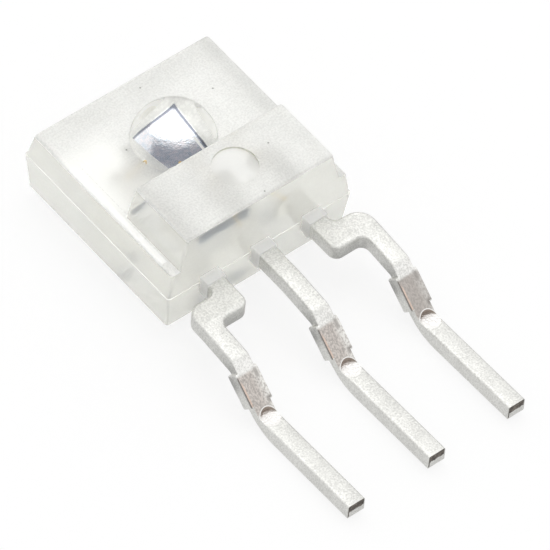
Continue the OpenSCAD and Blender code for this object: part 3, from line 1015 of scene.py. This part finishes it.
class SENSOR_OT_ground_lead(bpy.types.Operator):
    """Left lead, jogged outwards, with the arm and paddle that carry the die"""

    bl_idname = "sensor.ground_lead"
    bl_label = "Ground Lead"

    def execute(self, context):
        s = context.scene.sensor_leads
        w, out = s.width / MM / 2, s.exit_pitch / MM
        left, right, near, far = PADDLE
        inner = [
            (x, y, INNER_R) for x, y in (
                (out + w, ARM_FAR), (right, ARM_FAR), (right, far), (left, far), (left, near),
                (right, near), (right, ARM_NEAR), (out - w, ARM_NEAR))]
        plan = jogged(s, -1, 0.30, inner)
        bm = lead_mesh(s, plan, -s.foot_pitch / MM)
        piece("ground_lead", bm, [tin(context)], "lead_ground")
        return {"FINISHED"}


class SENSOR_OT_supply_lead(bpy.types.Operator):
    """Straight middle lead with its bonding head"""

    bl_idname = "sensor.supply_lead"
    bl_label = "Supply Lead"

    def execute(self, context):
        s = context.scene.sensor_leads
        w, half, tip = s.width / MM / 2, HEAD_WIDTH / 2, -s.tip / MM
        plan = [
            (-w, tip, 0), (w, tip, 0), (w, HEAD_FAR, 0), (half, HEAD_FAR, 0),
            (half, HEAD_NEAR, INNER_R), (-half, HEAD_NEAR, INNER_R),
            (-half, HEAD_FAR, INNER_R), (-w, HEAD_FAR, 0)]
        piece("supply_lead", lead_mesh(s, plan, 0.0), [tin(context)], "lead_supply")
        return {"FINISHED"}


class SENSOR_OT_output_lead(bpy.types.Operator):
    """Right lead, jogged outwards, with its bonding head"""

    bl_idname = "sensor.output_lead"
    bl_label = "Output Lead"

    def execute(self, context):
        s = context.scene.sensor_leads
        w, out = s.width / MM / 2, s.exit_pitch / MM
        inner = [
            (out + w, HEAD_NEAR, INNER_R), (out + w - HEAD_WIDTH, HEAD_NEAR, INNER_R),
            (out + w - HEAD_WIDTH, HEAD_FAR, INNER_R), (out - w, HEAD_FAR, 0)]
        bm = lead_mesh(s, jogged(s, 1, 0.38, inner), s.foot_pitch / MM)
        piece("output_lead", bm, [tin(context)], "lead_output")
        return {"FINISHED"}


# chip and wires, in millimetres

FILM, CHIP_EDGE = 0.003, 0.006
PADS = [(-0.245, 0.055, -0.155, 0.145), (0.295, 0.055, 0.385, 0.145), (-0.695, 0.36, -0.605, 0.45)]
CELL_COLUMNS = ((-0.57, -0.47), (-0.45, -0.36))
CELL_ROWS = ((0.06, 0.16), (0.18, 0.30), (0.32, 0.50), (0.52, 0.58), (0.60, 0.78), (0.80, 0.91))


def dress(node, made):
    """Gives a CAD node its finished material."""
    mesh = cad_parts[node].data
    mesh.materials.clear()
    mesh.materials.append(made)


class SENSOR_OT_chip(bpy.types.Operator):
    """Silicon die with its photodiode window, pads and cells, and the adhesive under it"""

    bl_idname = "sensor.chip"
    bl_label = "Chip"

    def execute(self, context):
        s = context.scene.sensor_chip
        low, high = (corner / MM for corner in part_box("sensor_chip"))
        flat = high.z - FILM
        size = (high.x - low.x, high.y - low.y, flat - low.z)
        centre = ((low.x + high.x) / 2, (low.y + high.y) / 2, (low.z + flat) / 2)
        bm = block(size, centre, CHIP_EDGE)
        cells = [(a, c, b, d) for a, b in CELL_COLUMNS for c, d in CELL_ROWS]
        tools = []
        for x0, y0, x1, y1 in [WINDOW, *PADS, *cells]:
            middle = ((x0 + x1) / 2, (y0 + y1) / 2, flat)
            tools.append((block((x1 - x0, y1 - y0, 2 * FILM), middle), "UNION"))
        bm = combined(bm, tools)
        for face in bm.faces:
            at = face.calc_center_median()
            face.material_index = 0
            if at.z < flat - NEAR:
                continue
            for index, places in ((1, [WINDOW]), (2, PADS)):
                for x0, y0, x1, y1 in places:
                    if x0 - NEAR < at.x < x1 + NEAR and y0 - NEAR < at.y < y1 + NEAR:
                        face.material_index = index
        pads = fine_metal("bond_pads", s.metal, 0.2, 0.3, 0.01)
        piece("light_chip", bm, [die_circuit(s), die_window(s), pads], "sensor_chip")
        dress("die_attach", silver_adhesive())
        return {"FINISHED"}


WIRE_RADIUS, WIRE_SIDES, BALL_RADIUS = 0.0145, 14, 0.038
BALL_SQUASH, STITCH_SQUASH, NECK_WIDTH, NECK_HEIGHT = 0.33, 0.2, 1.5, 0.03
LOOP_RISE, LOOP_FLAT, LOOP_CORNERS, LOOP_STEP = 0.158, 0.16, (0.05, 0.08, 0.06), 10
# Each wire's ball on the chip and its stitch on the lead, as (x, y)
WIRES = {
    "ground": ((-0.65, 0.405), (-1.17, 0.44)),
    "supply": ((-0.20, 0.10), (-0.08, -0.92)),
    "output": ((0.34, 0.10), (1.06, -0.92)),
}


def squashed_ball(radius, centre, height_share):
    bm = ball(radius, (0, 0, 0), 32)
    bmesh.ops.scale(bm, vec=(1, 1, height_share), verts=bm.verts)
    move(bm, centre)
    return bm


def wire_mesh(pad, stitch, chip_top, sheet_top):
    """Ball, neck, loop and stitch of one wire, as one closed shell."""
    span = (Vector(stitch) - Vector(pad)).length
    ahead = (Vector(stitch) - Vector(pad)) / span
    top, (first, second, third) = chip_top + LOOP_RISE, LOOP_CORNERS
    path = rounded_line([
        (0, chip_top + 0.01, 0), (0, top, first), (LOOP_FLAT * span, top, second),
        (span - 0.03, sheet_top + 0.03, third),
        (span + 0.02, sheet_top + WIRE_RADIUS * 0.8, 0)], LOOP_STEP)
    bm = bmesh.new()
    bmesh.ops.create_circle(bm, cap_ends=True, segments=WIRE_SIDES, radius=WIRE_RADIUS)
    move(bm, (*pad, path[0].y))
    end = bm.faces[:]
    turned = 0.0
    side = Vector((-ahead.y, ahead.x, 0))
    for i, (a, b) in enumerate(zip(path, path[1:])):
        step = b - a
        after = path[i + 2] - b if i + 2 < len(path) else step
        lean = math.atan2(step.x + after.x, step.y + after.y)
        made = bmesh.ops.extrude_face_region(bm, geom=end)["geom"]
        if i:
            bmesh.ops.delete(bm, geom=end, context="FACES_ONLY")
        verts = [g for g in made if isinstance(g, bmesh.types.BMVert)]
        end = [g for g in made if isinstance(g, bmesh.types.BMFace)]
        bmesh.ops.translate(bm, vec=(*(ahead * step.x), step.y), verts=verts)
        at = Vector((*(Vector(pad) + ahead * b.x), b.y))
        turn(bm, Matrix.Rotation(lean - turned, 3, side), verts, at)
        turned = lean
    bmesh.ops.recalc_face_normals(bm, faces=bm.faces)
    neck = drum(WIRE_RADIUS * NECK_WIDTH, NECK_HEIGHT, (*pad, chip_top + 0.008), 24)
    foot = (*(Vector(pad) + ahead * (span + 0.005)), sheet_top + 0.007)
    return combined(bm, [
        (squashed_ball(BALL_RADIUS, (*pad, chip_top + 0.012), BALL_SQUASH), "UNION"),
        (neck, "UNION"),
        (squashed_ball(BALL_RADIUS, foot, STITCH_SQUASH), "UNION"),
    ])


class SENSOR_OT_bond_wires(bpy.types.Operator):
    """Gold wires from the pads of the die to the leads"""

    bl_idname = "sensor.bond_wires"
    bl_label = "Bond Wires"

    def execute(self, context):
        made = fine_metal("gold_wire", context.scene.sensor_chip.gold, 0.16, 0.28, 0.012)
        chip_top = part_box("sensor_chip")[1].z / MM
        sheet_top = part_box("die_attach")[0].z / MM
        for name, (pad, stitch) in WIRES.items():
            bm = wire_mesh(pad, stitch, chip_top, sheet_top)
            piece(name + "_wire", bm, [made], "wire_" + name, smooth=40)
        return {"FINISHED"}


# studio

# Camera: angles in degrees, its shift and distance from the origin in millimetres, and its focal
# length and picture in pixels.
CAMERA_AZ, CAMERA_EL, CAMERA_ROLL = -43.2987, 51.8330, -5.6201
CAMERA_SHIFT, CAMERA_DISTANCE = (-1.76314, 1.42637), 146.4904
FOCAL_PIXELS, PICTURE_PIXELS, SENSOR_WIDTH = 7448.8, 550, 36.0

FLOOR_SIZE, FLOOR_GAP = 1.5, 2e-6
FLOOR_GLOW, FLOOR_GLOW_IN_GLASS, FLOOR_SEEN = 0.765, 0.94, (0.25, 0.25, 0.25)
SOFTBOX_SIZE, SOFTBOX_POWER, SOFTBOX_PLACE = 0.12, 0.042, (0.029, 0.029, 0.144)
FAR_CARD_RADIUS, FAR_CARD_LOW, FAR_CARD_HIGH, FAR_CARD_STEPS = 0.08, 0.03, 0.125, 24
FAR_CARD_FROM, FAR_CARD_TO, FAR_CARD_FADE = -15.0, 82.0, (88.0, 120.0)
FAR_CARD_END, FAR_CARD_DARK = (71.0, 79.0), (0.205, 0.218, 0.255)
LOW_CARD_PLACE, LOW_CARD_RADIUS = (0.0428, -0.0359, 0.0829), 0.018
LOW_CARD_DARK = (0.05, 0.08, 0.16, 1.0)
# The table card's painted shadow lies in a band of y under the leads' jogs.
TABLE_SIZE, TABLE_GAP, TABLE_SHADOW_BAND, TABLE_LEVELS = 0.08, 1e-6, (-4.05, -3.5), (0.84, 0.32)
HIDDEN_FOR_GLASS = ("camera", "diffuse", "shadow", "glossy")
HIDDEN_FOR_METAL = ("camera", "diffuse", "shadow", "transmission")


def stage_object(name, bm, made, hidden_from=()):
    """A part of the set, which the named kinds of ray pass through."""
    obj = plain_object(name, bm)
    obj.data.materials.append(made)
    for ray in hidden_from:
        setattr(obj, "visible_" + ray, False)


def level_sheet(size, height):
    """A square that lies level at a height."""
    bm = bmesh.new()
    bmesh.ops.create_grid(bm, x_segments=1, y_segments=1, size=size)
    move(bm, (0, 0, height))
    return bm


def card_material(name):
    """A card that only glows: it shows in mirrors or glass and lights nothing."""
    made, n, shader = new_material(name)
    set_shader(
        n, shader, Base_Color=(0, 0, 0, 1), Roughness=1.0, Specular_IOR_Level=0.0,
        Emission_Strength=1.0,
    )
    return made, n, shader


def pale_floor(s):
    """Floor that looks white to the camera, the metal and the glass, and keeps the shadow."""
    made, n, shader = new_material("pale_floor")
    path = n.add("ShaderNodeLightPath").outputs
    direct = n.maths("MAXIMUM", path["Is Camera Ray"], path["Is Glossy Ray"])
    strength = n.maths(
        "MAXIMUM", n.maths("MULTIPLY", direct, FLOOR_GLOW),
        n.maths("MULTIPLY", path["Is Transmission Ray"], FLOOR_GLOW_IN_GLASS),
    )
    set_shader(
        n, shader, Roughness=0.9, Specular_IOR_Level=0.0,
        Base_Color=n.blend(path["Is Camera Ray"], tuple(s.floor), FLOOR_SEEN),
        Emission_Color=(*WHITE, 1.0), Emission_Strength=strength,
    )
    stage_object("floor", level_sheet(FLOOR_SIZE, cad_box[0].z - FLOOR_GAP), made)


def white_room(scene, surround):
    """White surroundings that light the part a little less than they show."""
    world = bpy.data.worlds.new("white_room")
    world.use_nodes = True
    scene.world = world
    n = Nodes(world.node_tree)
    path = n.add("ShaderNodeLightPath").outputs
    seen = n.maths("MAXIMUM", path["Is Camera Ray"], path["Is Glossy Ray"])
    seen = n.maths("MAXIMUM", seen, path["Is Transmission Ray"])
    back = world.node_tree.nodes["Background"]
    back.inputs["Color"].default_value = (*WHITE, 1.0)
    world.node_tree.links.new(n.level(seen, surround, 1.0), back.inputs["Strength"])


def softbox(scene, power):
    """Soft light overhead, turned to the part."""
    lamp = bpy.data.lights.new("softbox", "AREA")
    lamp.shape = "SQUARE"
    lamp.size = SOFTBOX_SIZE
    lamp.energy = SOFTBOX_POWER * power
    obj = bpy.data.objects.new("softbox", lamp)
    obj.location = SOFTBOX_PLACE
    obj.rotation_euler = (-obj.location).to_track_quat("-Z", "Y").to_euler()
    scene.collection.objects.link(obj)


def far_card():
    """Dark curved card behind the part, seen through the dome and the resin."""
    made, n, shader = card_material("far_card")
    x, _, z = n.axes(n.place())
    level = n.maths("MAXIMUM", n.ramp(z, *FAR_CARD_FADE), n.ramp(x, *FAR_CARD_END))
    set_shader(n, shader, Emission_Color=n.blend(level, FAR_CARD_DARK, WHITE))
    bm = bmesh.new()
    start = Vector((0, FAR_CARD_RADIUS, FAR_CARD_LOW))
    low = bm.verts.new(start)
    high = bm.verts.new(start + Vector((0, 0, FAR_CARD_HIGH - FAR_CARD_LOW)))
    edge = bm.edges.new((low, high))
    turn(bm, Matrix.Rotation(math.radians(-FAR_CARD_FROM), 3, "Z"))
    bmesh.ops.spin(
        bm, geom=[low, high, edge], cent=(0, 0, 0), axis=(0, 0, 1), steps=FAR_CARD_STEPS,
        angle=-math.radians(FAR_CARD_TO - FAR_CARD_FROM),
    )
    stage_object("far_card", bm, made, HIDDEN_FOR_GLASS)


def low_card():
    """Small dark card above the leads, seen through the resin."""
    made, n, shader = card_material("low_card")
    set_shader(n, shader, Emission_Color=LOW_CARD_DARK)
    bm = bmesh.new()
    bmesh.ops.create_circle(bm, cap_ends=True, segments=32, radius=LOW_CARD_RADIUS)
    turn(bm, Vector(LOW_CARD_PLACE).to_track_quat("Z", "Y").to_matrix())
    move(bm, LOW_CARD_PLACE)
    stage_object("low_card", bm, made, HIDDEN_FOR_GLASS)


def table_card():
    """Sheet just over the floor that the metal mirrors, with a painted shadow under the leads'
    jogs.
    """
    made, n, shader = card_material("table_card")
    y = n.axes(n.place())[1]
    # Painted shadow: a darker band under the leads' jogs.
    level = n.level(n.between(y, *TABLE_SHADOW_BAND, 0.12), *TABLE_LEVELS)
    grey = n.add("ShaderNodeCombineColor", {0: level, 1: level, 2: level}).outputs[0]
    set_shader(n, shader, Emission_Color=grey)
    bm = level_sheet(TABLE_SIZE, cad_box[0].z - TABLE_GAP)
    stage_object("table_card", bm, made, HIDDEN_FOR_METAL)


def photo_camera(scene):
    """Camera at the photograph's angle."""
    a, e, roll = (math.radians(v) for v in (CAMERA_AZ, CAMERA_EL, CAMERA_ROLL))
    backward = Vector((math.cos(e) * math.sin(a), -math.cos(e) * math.cos(a), math.sin(e)))
    right = Vector((math.cos(a), math.sin(a), 0))
    up = backward.cross(right)
    view = Matrix.Rotation(roll, 3, "Z") @ Matrix((right, up, backward))
    data = bpy.data.cameras.new("camera")
    data.sensor_width = SENSOR_WIDTH
    data.lens = FOCAL_PIXELS * SENSOR_WIDTH / PICTURE_PIXELS
    data.clip_start, data.clip_end = 0.005, 10.0
    camera = bpy.data.objects.new("camera", data)
    offset = Vector((-CAMERA_SHIFT[0], -CAMERA_SHIFT[1], CAMERA_DISTANCE)) * MM
    place = view.transposed() @ offset
    camera.matrix_world = Matrix.Translation(place) @ view.transposed().to_4x4()
    scene.collection.objects.link(camera)
    scene.camera = camera


class SENSOR_OT_studio(bpy.types.Operator):
    """Pale floor, soft light, dark cards for the metal and the glass, and the camera"""

    bl_idname = "sensor.studio"
    bl_label = "Studio"

    def execute(self, context):
        scene = context.scene
        s = scene.sensor_studio
        scene.view_settings.view_transform = "Standard"
        pale_floor(s)
        white_room(scene, s.surround)
        softbox(scene, s.softbox)
        far_card()
        low_card()
        table_card()
        photo_camera(scene)
        return {"FINISHED"}


class SENSOR_PT_panel(bpy.types.Panel):
    """Sizes and colours of the sensor, and a button for each piece"""

    bl_idname = "SENSOR_PT_panel"
    bl_label = "Clear Light Sensor"
    bl_space_type = "VIEW_3D"
    bl_region_type = "UI"
    bl_category = "Light Sensor"

    def draw(self, context):
        layout = self.layout
        for label, settings in (
            ("Clear body", context.scene.sensor_resin), ("Leads", context.scene.sensor_leads),
            ("Chip", context.scene.sensor_chip), ("Studio", context.scene.sensor_studio),
        ):
            box = layout.box()
            box.label(text=label)
            for key in settings.__annotations__:
                box.prop(settings, key)
        for operator in OPERATORS:
            layout.operator(operator.bl_idname)


OPERATORS = (
    SENSOR_OT_resin_body, SENSOR_OT_ground_lead, SENSOR_OT_supply_lead, SENSOR_OT_output_lead,
    SENSOR_OT_chip, SENSOR_OT_bond_wires, SENSOR_OT_studio,
)
SETTINGS = {
    "sensor_resin": ResinSettings, "sensor_leads": LeadSettings,
    "sensor_chip": ChipSettings, "sensor_studio": StudioSettings,
}


def register():
    for cls in (*SETTINGS.values(), *OPERATORS, SENSOR_PT_panel):
        bpy.utils.register_class(cls)
    for key, cls in SETTINGS.items():
        setattr(bpy.types.Scene, key, PointerProperty(type=cls))


def unregister():
    for key in SETTINGS:
        delattr(bpy.types.Scene, key)
    for cls in reversed((*SETTINGS.values(), *OPERATORS, SENSOR_PT_panel)):
        bpy.utils.unregister_class(cls)


def main():
    register()
    for operator in OPERATORS:
        group, call = operator.bl_idname.split(".")
        getattr(getattr(bpy.ops, group), call)()


if __name__ == "__main__":
    main()
